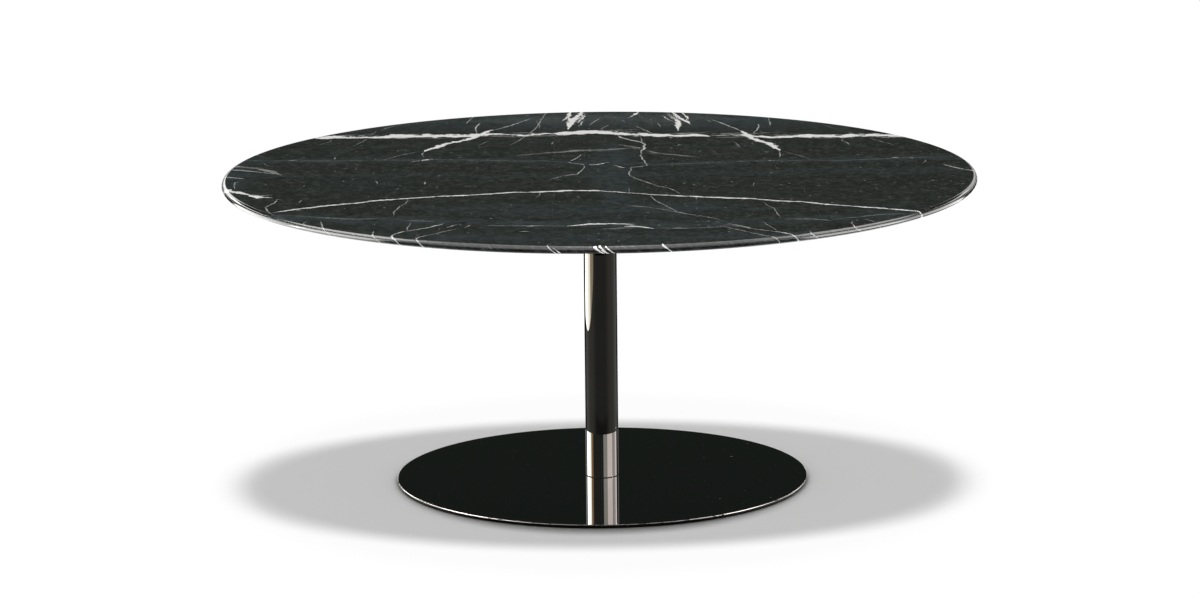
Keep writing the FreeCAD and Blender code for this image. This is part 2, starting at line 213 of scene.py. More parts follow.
BRANCHES = [
    Strand("y", 6.5, 1.0, [
        (-238, 178), (-236, 190, 3), (-229, 202, 5), (-220, 218, 8), (-215, 235, 8.5), (-208, 247),
        (-196, 258), (-185, 272), (-176, 288), (-170, 300, 8), (-160, 318), (-157, 338, 6),
        (-152, 347, 3), (-145, 354),
    ]),
    Strand("y", 6.5, 1.0, [
        (246, 158), (245, 172, 2.5), (241, 182, 4), (238, 196), (236, 208, 8), (231, 222, 7.5),
        (222, 240), (214, 252), (209, 270), (205, 290), (202, 308, 5), (196, 328),
    ]),
    Strand("y", 6, 1.0, [
        (-43, 345), (-42, 365, 2), (-40, 385, 5), (-38, 405, 6.5), (-36, 425, 7.5), (-34, 440, 7),
        (-30, 452, 5), (-27, 470, 4), (-24, 500, 3.5),
    ]),
    Strand("y", 6, 1.0, [
        (110, 325), (111, 345, 2), (111, 365, 4.5), (112, 385), (112, 402), (109, 418, 4), (107, 432),
    ]),
    Strand("y", 3.2, 0.95, [(128, 388), (124, 405), (118, 420), (114, 440), (110, 460), (103, 495, 3)]),
    Strand("y", 3.5, 0.75, [(-41, 400), (-40, 430), (-43, 455), (-42, 475), (-40, 500, 3)]),
    Strand("y", 3.0, 0.65, [(-52, 418), (-47, 437), (-40, 462)]),
    Strand("y", 3.5, 0.75, [(-28, 422), (-22, 440), (-19, 462)]),
    Strand("y", 3.0, 0.6, [(121, 413), (126, 430), (124, 450), (117, 485, 2.5)]),
    Strand("y", 4.0, 0.55, [(40, 440), (45, 450, 2), (51, 463), (57, 492, 3)]),
    Strand("x", 8.5, 1.0, [
        (-500, -88, 12), (-480, -103, 11), (-468, -112), (-458, -126), (-448, -142), (-425, -150),
    ]),
    Strand("x", 4.5, 0.95, [
        (-42, -367), (-30, -361), (-15, -354), (10, -352), (30, -353, 3), (48, -359),
    ]),
    Strand("x", 4.0, 0.95, [(30, -373), (42, -370), (53, -373), (60, -382), (68, -389)]),
    Strand("x", 4.0, 0.5, [(-252, 106), (-244, 112), (-236, 117), (-229, 121), (-224, 122)]),
    Strand("x", 4.0, 0.5, [(223, 91), (230, 87), (238, 83), (248, 74)]),
    Strand("x", 2.0, 0.9, [(18, 66), (25, 58), (31, 47), (36, 41)]),
    Strand("x", 2.0, 0.85, [(-14, 68), (-4, 69), (3, 74), (10, 83), (15, 89)]),
    Strand("y", 3.0, 0.9, [(-8, -500, 3), (-7, -497, 2), (-6, -494)]),
    Strand("y", 3.0, 0.95, [(-2, -500, 4), (-1, -496, 3), (0, -491)]),
    Strand("y", 2.0, 0.7, [(6, -500, 2), (7, -496)]),
    Strand("y", 1.6, 0.75, [(-66, -500, 1.6), (-65, -494), (-64, -484)]),
    Strand("y", 2.0, 0.8, [(-60, -500, 2.2), (-60, -495)]),
    Strand("y", 1.6, 0.8, [(76, -500, 1.8), (76, -492), (77, -484)]),
    Strand("y", 1.6, 0.6, [(84, -500, 2), (85, -495)]),
]

ARCH_VEIN = [
    Strand("x", 4.2, 0.85, [
        (-425, -258), (-410, -249, 1.2), (-397, -239, 5), (-345, -207), (-315, -195), (-290, -178),
        (-235, -161), (-205, -152), (-175, -148), (-120, -131), (-105, -129, 3.5), (-95, -130, 2),
        (-75, -127, 6), (-65, -126, 3), (-45, -121, 6.5), (-20, -123, 6), (0, -124, 4), (20, -133, 2.5),
        (70, -155, 2.5), (110, -168), (165, -185, 5), (195, -190), (225, -206), (260, -215),
        (290, -235), (350, -262), (385, -279, 5), (430, -302, 1),
    ]),
]

THREADS = [
    # Whiskers across the two gaps of the main vein
    Strand("x", 2.4, 0.85, [(-160, 325), (-130, 316), (-104, 306)]),
    Strand("x", 2.0, 0.75, [(-155, 312), (-130, 302), (-106, 297)]),
    Strand("x", 1.8, 0.6, [(-150, 301), (-126, 294), (-106, 288)]),
    Strand("x", 2.4, 0.85, [(145, 283), (172, 290), (202, 296)]),
    Strand("x", 2.0, 0.75, [(146, 291), (170, 284), (200, 282)]),
    Strand("x", 1.8, 0.6, [(150, 274), (176, 271), (206, 276)]),
    # Hairs from the two branches, up to the far rim and down to the band
    Strand("y", 2.0, 0.8, [
        (-150, 345), (-138, 363), (-132, 372), (-122, 392), (-108, 420), (-91, 452),
    ]),
    Strand("y", 1.8, 0.85, [(-169, 318), (-172, 350), (-172, 380), (-169, 400), (-166, 413)]),
    Strand("y", 2.0, 0.8, [(198, 322), (190, 345), (182, 365), (172, 390), (160, 420)]),
    Strand("y", 1.8, 0.8, [(212, 295), (218, 320), (222, 345), (224, 362), (223, 380)]),
    Strand("y", 1.4, 0.65, [(-187, 400), (-185, 420), (-181, 445), (-178, 468, 1.2)]),
    Strand("y", 1.4, 0.65, [(239, 358), (240, 385), (239, 410), (239, 435, 1.2)]),
    Strand("y", 1.7, 0.75, [(-238, 140), (-241, 160), (-237, 182)]),
    Strand("y", 1.4, 0.5, [(-291, 114), (-277, 148), (-262, 165), (-236, 190)]),
    Strand("y", 1.6, 0.65, [(242, 106), (245, 130), (246, 162)]),
    Strand("y", 1.4, 0.5, [(284, 92), (275, 115), (262, 138), (247, 164)]),
    # Hairs round the main vein
    Strand("y", 1.2, 0.45, [
        (-123, 222), (-112, 260), (-104, 290), (-95, 330), (-88, 365), (-85, 392), (-82, 425),
        (-74, 490, 1),
    ]),
    Strand("y", 1.2, 0.4, [(-83, 352), (-84, 390), (-89, 430)]),
    Strand("y", 1.5, 0.55, [(-14, 378), (-8, 400), (-4, 420), (2, 440)]),
    Strand("y", 1.8, 0.4, [(-2, 340), (5, 355), (8, 370), (14, 388)]),
    Strand("y", 1.2, 0.45, [(38, 396), (34, 412), (30, 428)]),
    Strand("y", 1.3, 0.5, [(87, 352), (84, 378), (81, 404)]),
    Strand("y", 1.6, 0.6, [(77, 306), (72, 318), (66, 335), (58, 355), (52, 372)]),
    Strand("y", 1.3, 0.4, [(159, 393), (155, 408), (150, 422)]),
    Strand("y", 1.4, 0.5, [(-340, 225), (-333, 245), (-325, 268), (-320, 296)]),
    Strand("y", 1.4, 0.35, [(-386, 240), (-378, 255), (-369, 272), (-372, 292)]),
    Strand("y", 1.3, 0.35, [(-167, 220), (-160, 245), (-152, 270)]),
    Strand("y", 2.2, 0.4, [(-320, 322), (-314, 333), (-310, 345)]),
    Strand("y", 1.8, 0.4, [(-305, 350), (-298, 375), (-285, 395), (-272, 414)]),
    Strand("y", 1.5, 0.5, [(344, 202), (340, 216), (334, 236), (338, 264)]),
    Strand("y", 1.5, 0.4, [(404, 195), (392, 220), (380, 240), (371, 264)]),
    Strand("y", 1.6, 0.35, [(354, 288), (348, 300), (344, 314)]),
    Strand("y", 1.8, 0.35, [(330, 330), (322, 350), (310, 375)]),
    Strand("y", 1.2, 0.35, [(193, 192), (190, 215), (182, 250)]),
    # The cracked chain from the main vein through the middle to the near rim
    Strand("y", 3.2, 0.85, [
        (57, 146), (57, 170, 1.8), (62, 190, 2), (60, 205, 2), (63, 220, 2.5), (57, 240), (50, 250),
        (40, 262), (32, 278, 3.8), (24, 305),
    ]),
    Strand("y", 1.7, 0.65, [(58, 235), (58, 260), (57, 290)]),
    Strand("x", 3.0, 0.7, [(24, 224), (40, 212), (50, 203), (61, 188)]),
    Strand("x", 2.2, 0.6, [(28, 213), (42, 202), (57, 191)]),
    Strand("x", 2.0, 0.55, [(44, 194), (52, 187), (60, 182)]),
    Strand("y", 1.7, 0.75, [(64, 55), (62, 80), (59, 105), (56, 130), (57, 156)]),
    Strand("x", 2.6, 0.7, [(40, 46), (52, 50), (66, 60)]),
    Strand("y", 1.6, 0.65, [
        (105, -152), (98, -130), (92, -112), (78, -95), (66, -75), (57, -52), (48, -33), (41, -20),
        (38, 5), (42, 25), (43, 52),
    ]),
    Strand("y", 1.4, 0.5, [
        (157, -345), (145, -322), (130, -305), (110, -290), (98, -275), (90, -250), (82, -225),
        (72, -195), (67, -172), (68, -150),
    ]),
    Strand("x", 3.0, 0.3, [(16, -210), (40, -230), (60, -242), (85, -262), (104, -285), (134, -316)]),
    Strand("y", 1.7, 0.7, [(-43, 86), (-38, 100), (-30, 125), (-23, 152)]),
    Strand("x", 2.2, 0.65, [(-46, 94), (-40, 86), (-34, 80), (-26, 75), (-18, 69)]),
    Strand("y", 1.6, 0.7, [(-30, -8), (-28, 2), (-25, 15), (-20, 40), (-20, 74)]),
    Strand("x", 3.6, 0.4, [(-66, -42), (-55, -25), (-45, -10), (-32, -3, 4.5), (-27, 0)]),
    # Hairs that cross the arch and run on to the near rim
    Strand("y", 1.3, 0.5, [(-82, -170), (-78, -145), (-79, -122)]),
    Strand("y", 1.2, 0.35, [(40, -156), (38, -125), (39, -96)]),
    Strand("y", 1.3, 0.4, [(125, -198), (125, -178), (124, -158)]),
    Strand("y", 1.3, 0.5, [(-262, -298), (-262, -250), (-258, -225), (-249, -195), (-247, -160)]),
    Strand("y", 1.3, 0.45, [(228, -328), (226, -300), (222, -260), (214, -235), (209, -202)]),
    Strand("y", 2.8, 0.9, [
        (-259, -430, 2.5), (-258, -412), (-250, -397), (-238, -384), (-222, -373), (-210, -360),
        (-203, -350), (-194, -337),
    ]),
    Strand("y", 2.6, 0.65, [(-194, -370), (-186, -358), (-179, -346)]),
    Strand("y", 2.4, 0.6, [(-169, -372), (-167, -362), (-163, -350)]),
    Strand("y", 1.7, 0.7, [(-228, -445, 2), (-224, -428), (-215, -418), (-195, -395), (-177, -370)]),
    Strand("y", 1.8, 0.85, [(-285, -412, 1.8), (-283, -398), (-283, -388)]),
    Strand("y", 1.3, 0.5, [(-241, -388), (-241, -370), (-238, -345), (-237, -322)]),
    Strand("y", 1.7, 0.7, [(-349, -362, 1.6), (-349, -340), (-353, -315)]),
    Strand("y", 3.0, 0.85, [
        (241, -440, 2.6), (236, -434), (225, -420), (210, -408), (190, -395), (175, -375), (158, -355),
    ]),
    Strand("y", 1.7, 0.6, [(218, -452, 1.8), (205, -440), (180, -410), (165, -392), (150, -370)]),
    Strand("y", 2.0, 0.55, [(188, -392), (170, -378), (154, -362)]),
    Strand("y", 1.3, 0.5, [(223, -420), (217, -395), (210, -370), (205, -346)]),
    Strand("y", 1.8, 0.8, [(262, -430, 1.8), (262, -422), (261, -414)]),
    Strand("y", 1.8, 0.75, [(320, -392, 1.8), (317, -378), (315, -360), (319, -348)]),
    Strand("y", 2.6, 0.5, [(346, -360), (340, -347), (332, -338)]),
    Strand("y", 2.6, 0.5, [(-379, -342), (-374, -330), (-370, -316)]),
    # The left and right ends
    Strand("y", 1.4, 0.55, [(-414, -278), (-425, -245), (-429, -215), (-420, -190), (-416, -146)]),
    Strand("y", 1.6, 0.65, [(-478, -88), (-480, -60), (-480, -40), (-477, -30)]),
    Strand("x", 3.0, 0.55, [(-492, -104, 4), (-483, -128), (-476, -150)]),
    Strand("x", 3.0, 0.45, [(-462, -118), (-446, -132), (-434, -134), (-424, -128)]),
    Strand("x", 3.2, 0.7, [(-500, 60, 3), (-475, 50), (-455, 38), (-436, 24)]),
    Strand("x", 4.5, 0.75, [(-500, 6, 6), (-490, -1), (-480, -6), (-468, -12)]),
    # The streak at the right end is a painted reflection, drawn as a pale vein
    Strand("x", 4.2, 0.75, [(455, 52), (464, 35), (475, 18), (488, 2), (500, -10, 4)]),
    Strand("y", 1.8, 0.5, [(432, 56), (436, 68), (439, 86)]),
    Strand("y", 1.6, 0.4, [(-440, 78), (-448, 92), (-452, 108)]),
    Strand("y", 1.4, 0.35, [(-452, 150), (-462, 162), (-472, 176)]),
    # Short ticks and flecks
    Strand("y", 2.6, 0.5, [(-294, -60), (-294, -45), (-296, -32)]),
    Strand("y", 2.6, 0.5, [(-230, -70), (-230, -56), (-231, -44)]),
    Strand("y", 2.4, 0.4, [(-388, -190), (-386, -180), (-385, -168)]),
    Strand("y", 2.2, 0.4, [(201, -102), (202, -90), (203, -76)]),
    Strand("x", 4.0, 0.55, [(-421, 121), (-414, 125), (-407, 128)]),
    Strand("y", 2.6, 0.45, [(-359, 128), (-358, 136), (-357, 145)]),
    Strand("x", 3.6, 0.5, [(392, 103), (398, 101), (405, 100)]),
    Strand("x", 4.0, 0.65, [(-94, -363), (-84, -362), (-76, -360)]),
    Strand("x", 3.6, 0.6, [(88, -387), (97, -386), (105, -386)]),
    Strand("x", 4.0, 0.35, [(-103, -398), (-94, -397), (-84, -396)]),
    Strand("y", 4.0, 0.3, [(-65, 228), (-64, 240), (-63, 252)]),
    Strand("y", 3.0, 0.3, [(108, 204), (109, 214), (110, 226)]),
]

GREY_STREAKS = [
    Strand("x", 6, 0.85, [
        (-116, 142), (-108, 147, 5), (-90, 155, 4.5), (-70, 163, 5), (-50, 168, 7), (-40, 176, 9),
        (-10, 180, 9), (10, 182, 7), (30, 190, 4), (50, 196),
    ]),
    Strand("x", 5, 0.9, [
        (54, 187), (64, 172, 2.5), (75, 158), (90, 146, 5.5), (118, 130), (130, 122, 4.5), (140, 114),
    ]),
    Strand("x", 4, 0.6, [(52, 150), (70, 152), (90, 148), (108, 138)]),
    Strand("x", 10, 1.0, [
        (-500, 84, 6), (-480, 78, 6), (-462, 68, 9), (-448, 52, 13), (-436, 36, 15), (-428, 24, 11),
        (-420, 12),
    ]),
    Strand("x", 8, 0.45, [(0, -388), (18, -384), (38, -380), (50, -380)]),
    Strand("x", 75, 0.11, [(-190, 425), (-60, 435), (120, 430), (210, 415)]),
    Strand("x", 2.5, 0.42, [
        (-480, 127), (-371, 118), (-260, 118), (-225, 122), (-180, 115), (-150, 110), (-100, 100),
        (-75, 101), (-42, 90),
    ]),
    Strand("x", 2.5, 0.42, [
        (60, 56), (100, 70), (150, 76), (200, 86), (260, 88), (330, 82), (409, 98), (490, 104),
    ]),
    Strand("x", 3.2, 0.6, [
        (-420, -272), (-380, -280), (-350, -292), (-318, -304), (-300, -302), (-262, -298),
    ]),
    Strand("x", 4.0, 0.7, [(-318, -310), (-304, -306), (-290, -304), (-280, -303)]),
    Strand("x", 3.0, 0.5, [(-252, -320), (-235, -318), (-218, -322), (-190, -336)]),
    Strand("x", 2.6, 0.55, [(-165, -350), (-120, -358), (-80, -361), (-36, -362)]),
    Strand("x", 2.6, 0.55, [(62, -384), (100, -387), (150, -380), (175, -352)]),
    Strand("x", 4.2, 0.75, [(226, -333), (245, -334), (262, -333), (278, -338), (292, -346)]),
    Strand("x", 3.2, 0.6, [(292, -338), (330, -322), (355, -308), (395, -301)]),
]

BLUE_BANDS = [
    Strand("x", 130, 1.0, [(-480, 430, 110), (-200, 435), (200, 430), (480, 425, 110)]),
    Strand("x", 32, 0.85, [
        (-500, 122, 30), (-250, 118), (-120, 102), (0, 75), (60, 62), (150, 78), (250, 90),
        (500, 102, 30),
    ]),
    Strand("x", 28, 0.5, [(-500, 10, 28), (-200, 2), (40, -18), (240, 0), (500, 12, 28)]),
    Strand("x", 46, 0.95, [
        (-450, -272, 30), (-300, -308), (-200, -328), (-100, -348), (0, -350), (100, -368), (170, -350),
        (280, -335), (440, -300, 30),
    ]),
    Strand("y", 62, 0.85, [(20, -330), (20, -100, 50), (12, 0), (12, 90), (20, 160, 50), (10, 270)]),
    Strand("y", 58, 0.75, [(-490, -280), (-490, -100), (-490, 80), (-480, 220)]),
    Strand("x", 80, 0.7, [(-260, -240), (-120, -250), (120, -250), (260, -260)]),
    Strand("x", 70, 0.7, [(-330, -440, 60), (0, -450), (330, -440, 60)]),
]

# The least half width of a vein in metres, the numbers of three inputs of Map Range in its vector form, and
# the stone's radius in millimetres
HAIR = 1e-5
FROM_LOW, FROM_HIGH, TO_HIGH = 7, 8, 10
RIM_MM = 500

# How much wider or thinner the veins are than their courses say, and how far fibres tear their edges
MAIN_GIRTH, BRANCH_GIRTH, ARCH_GIRTH, NEAR_GIRTH = 1.3, 1.3, 0.85, 2.3
MAIN_TEAR, BRANCH_TEAR = 2.6, 1.8

# Scattered strokes: where along a stroke its points lie, the seed of the hairs, and each plume's middle in
# millimetres, lean and seed
STROKE_SHARES = (0.0, 0.4, 1.0)
HAIR_SEED = 5
PLUME_STROKES = 7
PLUMES = ((-38, 0.16, 3), (116, -0.2, 8))

# Veins lean sideways as they go down. The slanted underside is honed, up to where the nose begins.
VEIN_DIP = 1.2
TOP_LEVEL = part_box("marble_top")[1][2]
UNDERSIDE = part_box("marble_top")[0][2]
HONED_LEVEL = UNDERSIDE + 0.0085
POLISHED_LEVEL = UNDERSIDE + 0.0105
STONE_IOR = 1.5
STONE_POLISH = 0.05
STONE_HAZE = 0.04
VEIN_MATT = 0.05
HONED_MATT = 0.45

BROWN_BLACK = colour(0.0140, 0.0128, 0.0098)
BLUE_BLACK = colour(0.0195, 0.0240, 0.0250)
BAND_BLUE = colour(0.0390, 0.0545, 0.0610)
FILAMENT_TEAL = colour(0.060, 0.078, 0.080)
GRAIN_LIGHT = colour(0.058, 0.063, 0.060)
GRAIN_DARK = colour(0.0045, 0.0045, 0.0040)
VEIN_FRINGE = colour(0.23, 0.205, 0.19)
VEIN_GREY = colour(0.36, 0.36, 0.35)
VEIN_WHITE = colour(0.96, 0.95, 0.94)
HAZE_BROWN = colour(0.10, 0.088, 0.08)
SPECK_GREY = colour(0.23, 0.24, 0.235)


def vein_hairs():
    """Short hairs that lie along both sides of the main vein and lean a little away from it."""
    dice = random.Random(HAIR_SEED)
    spine = [point[:2] for strand in MAIN_VEIN for point in strand.course]
    hairs = []
    for x, y in spine[1:-1]:
        side = dice.choice((-1, 1))
        x += dice.uniform(-14, 14)
        y += side * dice.uniform(7, 15)
        length = dice.uniform(36, 76)
        lean = side * dice.uniform(-0.02, 0.16)
        course = [(x + share * length, y + share * lean * length) for share in STROKE_SHARES]
        hairs.append(Strand("x", dice.uniform(1.6, 2.8), dice.uniform(0.5, 0.9), course))
    return hairs


def plume(middle, lean, seed):
    """Strokes that fan out towards the far rim from one spot."""
    dice = random.Random(seed)
    strokes = []
    for _ in range(PLUME_STROKES):
        x = middle + dice.uniform(-13, 13)
        y = dice.uniform(368, 425)
        length = dice.uniform(40, 90)
        tilt = lean + dice.uniform(-0.06, 0.14) * (1 if lean > 0 else -1)
        course = [(x + share * tilt * length, y + share * length) for share in STROKE_SHARES]
        strokes.append(Strand("y", dice.uniform(2.0, 3.2), dice.uniform(0.6, 1.0), course))
    return strokes


def stations(strand):
    """A strand's course as (along, across, half width) in metres, tapered at ends that give no width."""
    course = []
    for number, (x, y, *given) in enumerate(strand.course):
        at_end = number in (0, len(strand.course) - 1)
        width = given[0] if given else 0.0 if at_end else strand.width
        along, across = (x, y) if strand.along == "x" else (y, x)
        course.append((MILLIMETRE * along, MILLIMETRE * across, MILLIMETRE * width))
    return course


def threes(strands, along):
    """The strands that run along one axis, three by three, the last three filled up with empty ones."""
    chosen = [strand for strand in strands if strand.along == along]
    chosen += [Strand(along, 0, 0.0, [(-RIM_MM, -RIM_MM), (RIM_MM, RIM_MM)])] * (-len(chosen) % 3)
    return [chosen[first:first + 3] for first in range(0, len(chosen), 3)]


def vein_mask(nodes, place, swell, strands, edge):
    """How far a point of the stone lies in any of these veins, from 0 to 1, with edges of a softness.
    Three veins share each node, as the three parts of a vector."""
    x, y, _ = nodes.split(place)
    x, y, swell = [nodes.triple(part) for part in (x, y, swell)]
    smooth = {"data_type": "FLOAT_VECTOR", "interpolation_type": "SMOOTHSTEP"}
    total = 0.0
    for axis, along, across in (("x", x, y), ("y", y, x)):
        for three in threes(strands, axis):
            courses = [stations(strand) for strand in three]
            lines = [[(at, aside) for at, aside, _ in course] for course in courses]
            girths = [[(at, width) for at, _, width in course] for course in courses]
            middle = nodes.make("ShaderNodeVectorCurve", {"curves": lines}, {"Vector": along})
            girth = nodes.make("ShaderNodeVectorCurve", {"curves": girths}, {"Vector": along})
            reach = nodes.vector("MAXIMUM", nodes.vector("MULTIPLY", girth, swell), HAIR)
            aside = nodes.vector("ABSOLUTE", nodes.vector("SUBTRACT", across, middle))
            share = nodes.vector("DIVIDE", aside, reach)
            shades = [strand.shade for strand in three]
            inputs = {"Vector": share, FROM_LOW: (1.0,) * 3, FROM_HIGH: (1.0 - edge,) * 3, TO_HIGH: shades}
            mask = nodes.make("ShaderNodeMapRange", smooth, inputs, "Vector")
            total = nodes.vector("MAXIMUM", mask, total)
    first, second, third = nodes.split(total)
    return first.largest(second).largest(third)


def feathered(vein, fibres):
    """A soft vein whose edge is torn along the fibres that run through it."""
    return (vein + fibres).rise(0.28, 0.6) * vein.rise(0.0, 0.2)


Pattern = namedtuple("Pattern", "mains branches arch threads streaks bands near fibres")


def marble_pattern(nodes, dipped, bent, ragged, fine):
    """How far a point lies in each kind of vein, how near it is to the main ones, and its fibres."""
    torn = nodes.noise(nodes.stretch(dipped, (1.0, 0.7, 1.0)), 42.0, 5.0, 0.62).rise(0.28, 0.72)
    torn = torn * 1.3 + 0.35
    swell = nodes.noise(dipped, 75.0, 4.0, 0.7).rise(0.25, 0.75) * 1.5 + 0.25
    hair = nodes.noise(dipped, 55.0, 4.0, 0.7).rise(0.28, 0.7)
    lengthwise = nodes.noise(nodes.stretch(bent, (0.16, 1.0, 1.0)), 110.0, 4.0, 0.65) - 0.5
    crosswise = nodes.noise(nodes.stretch(bent, (1.0, 0.22, 1.0)), 130.0, 4.0, 0.65) - 0.5
    mains = vein_mask(nodes, ragged, MAIN_GIRTH * torn, MAIN_VEIN, 1.0)
    mains = feathered(mains, MAIN_TEAR * lengthwise)
    branches = vein_mask(nodes, fine, BRANCH_GIRTH * swell, BRANCHES, 1.0)
    branches = feathered(branches, BRANCH_TEAR * crosswise)
    arch = vein_mask(nodes, fine, ARCH_GIRTH * swell, ARCH_VEIN, 0.55)
    hairs = THREADS + vein_hairs()
    for middle, lean, seed in PLUMES:
        hairs += plume(middle, lean, seed)
    threads = vein_mask(nodes, fine, 0.35 + 0.75 * hair, hairs, 0.9) * (0.62 + 0.38 * hair)
    streaks = vein_mask(nodes, fine, swell, GREY_STREAKS, 0.9)
    bands = vein_mask(nodes, nodes.shaken(bent, 18.0, 0.06, 4.0), 1.0, BLUE_BANDS, 1.0)
    near = vein_mask(nodes, bent, NEAR_GIRTH, MAIN_VEIN + BRANCHES[:4], 1.0)
    return Pattern(mains, branches, arch, threads, streaks, bands, near, lengthwise)


def marble_ground(nodes, dipped, bent, fine, pattern):
    """The black between the veins: brown and blue clouds, layered blue bands, grain and grey specks."""
    flow = nodes.shaken(dipped, 12.0, 0.05)
    layers = nodes.noise(nodes.stretch(flow, (0.45, 1.6, 1.0)), 26.0, 5.0, 0.65)
    filaments = nodes.noise(nodes.stretch(flow, (0.14, 1.3, 1.0)), 75.0, 4.0, 0.7)
    clouds = nodes.noise(nodes.stretch(bent, (1.0, 2.0, 1.0)), 6.0, 4.0, 0.6).rise(0.32, 0.7)
    ground = nodes.mix(clouds * 0.6, BROWN_BLACK, BLUE_BLACK)
    ground = nodes.mix(pattern.bands * (0.35 + 0.65 * layers.rise(0.3, 0.72)), ground, BAND_BLUE)
    ground = nodes.mix(filaments.rise(0.52, 0.78) * (0.25 + 0.6 * pattern.bands), ground, FILAMENT_TEAL)
    coarse = nodes.noise(dipped, 62.0, 3.0, 0.6)
    grain = nodes.noise(dipped, 165.0, 2.0, 0.5)
    pale = coarse.rise(0.5, 0.75) * 0.45 + grain.rise(0.5, 0.70) * 0.55
    ground = nodes.mix(pale, ground, GRAIN_LIGHT)
    deep = (1 - coarse).rise(0.5, 0.75) * 0.5 + (1 - grain).rise(0.5, 0.70) * 0.55
    ground = nodes.mix(deep, ground, GRAIN_DARK)
    ground = nodes.mix(nodes.specks(fine, 80.0, 0.0022, 0.24), ground, SPECK_GREY)
    ground = nodes.mix(nodes.specks(fine, 26.0, 0.0040, 0.12) * 0.8, ground, SPECK_GREY)
    haze = pattern.near.rise(0.2, 1.0) * (pattern.fibres + 0.5).rise(0.45, 0.7)
    return nodes.mix(haze * 0.4, ground, HAZE_BROWN)


def black_marble():
    """Polished black stone with white veins, threads and flecks, and a honed underside."""
    material, nodes = new_finish("black_marble_polished")
    place = nodes.place()
    _, _, height = nodes.split(place)
    depth = (TOP_LEVEL - height).largest(0.0)
    dip = nodes.make("ShaderNodeCombineXYZ", None, {"X": depth * -VEIN_DIP})
    dipped = nodes.vector("ADD", place, dip)
    bent = nodes.shaken(dipped, 14.0, 0.005)
    ragged = nodes.shaken(nodes.shaken(bent, 55.0, 0.034, 4.0), 200.0, 0.012, 3.0)
    fine = nodes.shaken(nodes.shaken(bent, 70.0, 0.005, 3.0), 320.0, 0.003)
    pattern = marble_pattern(nodes, dipped, bent, ragged, fine)
    ground = marble_ground(nodes, dipped, bent, fine, pattern)

    frost = nodes.noise(ragged, 150.0, 3.0, 0.6)
    flecks = frost.rise(0.56, 0.68) * pattern.near.rise(0.25, 1.0) * 0.6
    whites = pattern.mains.largest(pattern.branches * frost.rise(0.12, 0.4)).largest(flecks)
    whites = whites.largest(pattern.arch * frost.rise(0.15, 0.5))
    streaked = pattern.streaks * (0.35 + 0.65 * (pattern.fibres + 0.5).rise(0.38, 0.6))
    stone = nodes.mix(streaked, ground, VEIN_GREY)
    stone = nodes.mix(pattern.threads, stone, VEIN_WHITE)
    stone = nodes.mix(whites.rise(0.0, 0.5), stone, VEIN_FRINGE)
    stone = nodes.mix(whites.rise(0.2, 0.85), stone, VEIN_WHITE)

    honed = 1 - height.rise(HONED_LEVEL, POLISHED_LEVEL)
    polish = STONE_POLISH + STONE_HAZE * nodes.noise(place, 14.0, 3.0)
    pits = nodes.specks(place, 140.0, 0.0006, 0.3)
    nodes.finish({
        "Base Color": stone,
        "Roughness": polish + VEIN_MATT * whites + HONED_MATT * honed,
        "IOR": STONE_IOR,
        "Normal": nodes.bump(1 - pits, 0.03, 0.0002),
    })
    return material


# Metals, rubber and felt
COAT_DARK = colour(0.012, 0.012, 0.012)
COAT_LIGHT = colour(0.022, 0.022, 0.021)
ZINC_DARK = colour(0.46, 0.47, 0.48)
ZINC_LIGHT = colour(0.62, 0.62, 0.60)
BRASS_DARK = colour(0.60, 0.42, 0.16)
BRASS_LIGHT = colour(0.78, 0.58, 0.26)
RUBBER_BLACK = colour(0.010, 0.010, 0.010)
RUBBER_BLOOM = colour(0.030, 0.030, 0.029)
FELT_DARK = colour(0.012, 0.012, 0.012)
FELT_LIGHT = colour(0.06, 0.058, 0.056)
NICKEL_DARK = colour(0.0115, 0.0113, 0.0100)
NICKEL_LIGHT = colour(0.0155, 0.0152, 0.0135)
DUST_GREY = colour(0.8, 0.8, 0.78)
# The bright colour of the disc's upper edge: worn plating, and a painted highlight along it
WORN_EDGE_HIGHLIGHT = colour(0.42, 0.395, 0.38)
BASE_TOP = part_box("base_plate")[1][2]
BASE_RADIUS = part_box("base_plate")[1][0]
EDGE_BREAK = 0.0008
PLATING_POLISH = 0.003
PLATING_HAZE = 0.006
PLATING_RUBBED = 0.003
DUST_MATT = 0.5
WORN_HIGHLIGHT_MATT = 0.3


def black_nickel():
    """Mirror-polished dark plating: faint haze, some dust, and a bright edge on the disc, partly wear and
    partly a painted highlight.
    """
    material, nodes = new_finish("black_nickel_mirror")
    place = nodes.place()
    x, y, height = nodes.split(place)
    radius = (x * x + y * y).root()
    haze = nodes.noise(place, 18.0, 4.0, 0.6)
    rubbed = nodes.noise(nodes.stretch(place, (1.0, 1.0, 0.06)), 420.0, 2.0)
    lying = 1 - height.rise(BASE_TOP + EDGE_BREAK, BASE_TOP + 2 * EDGE_BREAK)
    dust = nodes.specks(place, 45.0, 0.0020, 0.14)
    dust = dust + nodes.specks(place, 42.0, 0.0011, 0.5, "2D") * lying * 0.5
    # The upper edge of the disc is painted bright and less glossy: part wear, part a painted highlight
    # along the edge break
    outer = radius.rise(BASE_RADIUS - 1.1 * EDGE_BREAK, BASE_RADIUS - 0.9 * EDGE_BREAK)
    upper = height.rise(BASE_TOP - 1.05 * EDGE_BREAK, BASE_TOP - 0.9 * EDGE_BREAK)
    worn_highlight = outer * upper * nodes.noise(place, 120.0, 3.0).rise(0.2, 0.5)
    plating = nodes.mix(haze, NICKEL_DARK, NICKEL_LIGHT)
    plating = nodes.mix(dust * 0.8, plating, DUST_GREY)
    polish = PLATING_POLISH + PLATING_HAZE * haze + PLATING_RUBBED * rubbed
    nodes.finish({
        "Base Color": nodes.mix(worn_highlight, plating, WORN_EDGE_HIGHLIGHT),
        "Metallic": (1 - dust).largest(0.0),
        "Roughness": polish + DUST_MATT * dust + WORN_HIGHLIGHT_MATT * worn_highlight,
    })
    return material


